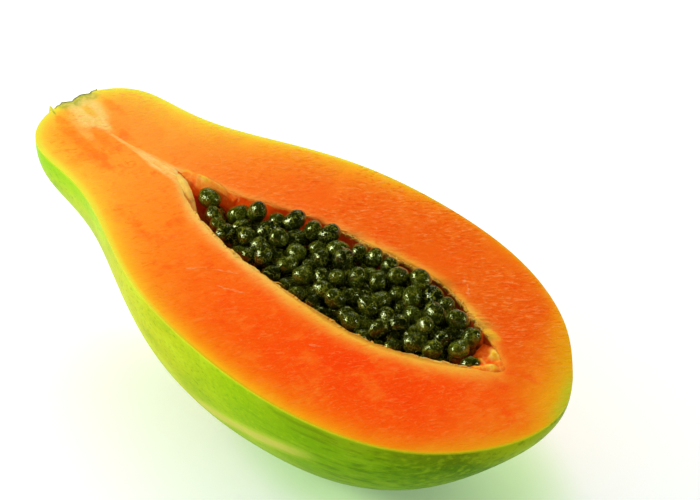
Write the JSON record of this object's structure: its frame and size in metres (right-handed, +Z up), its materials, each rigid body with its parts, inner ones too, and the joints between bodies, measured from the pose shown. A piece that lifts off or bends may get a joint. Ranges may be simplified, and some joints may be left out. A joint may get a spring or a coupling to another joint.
{
  "type": "papaya half",
  "caption": "Lengthwise half of a ripe papaya, cut face up, with its cavity full of round dark seeds; rests on a small flat spot on the skin.",
  "frame": {"origin": "middle of the small flat on the underside that the half rests on", "axes": "+X from the stem end to the blossom end, +Z up, out of the cut face, which is level"},
  "size_m": [0.1843, 0.0913, 0.0504],
  "materials": {
    "fruit": "moist orange flesh, yellow under the skin; the skin is smooth, waxy and green with yellow patches",
    "seeds": "wet, dark olive green, wrinkled gelatinous coats"
  },
  "bodies": {
    "root": {"fruit_half": "fruit", "seeds": "seeds"}
  },
  "joints": []
}
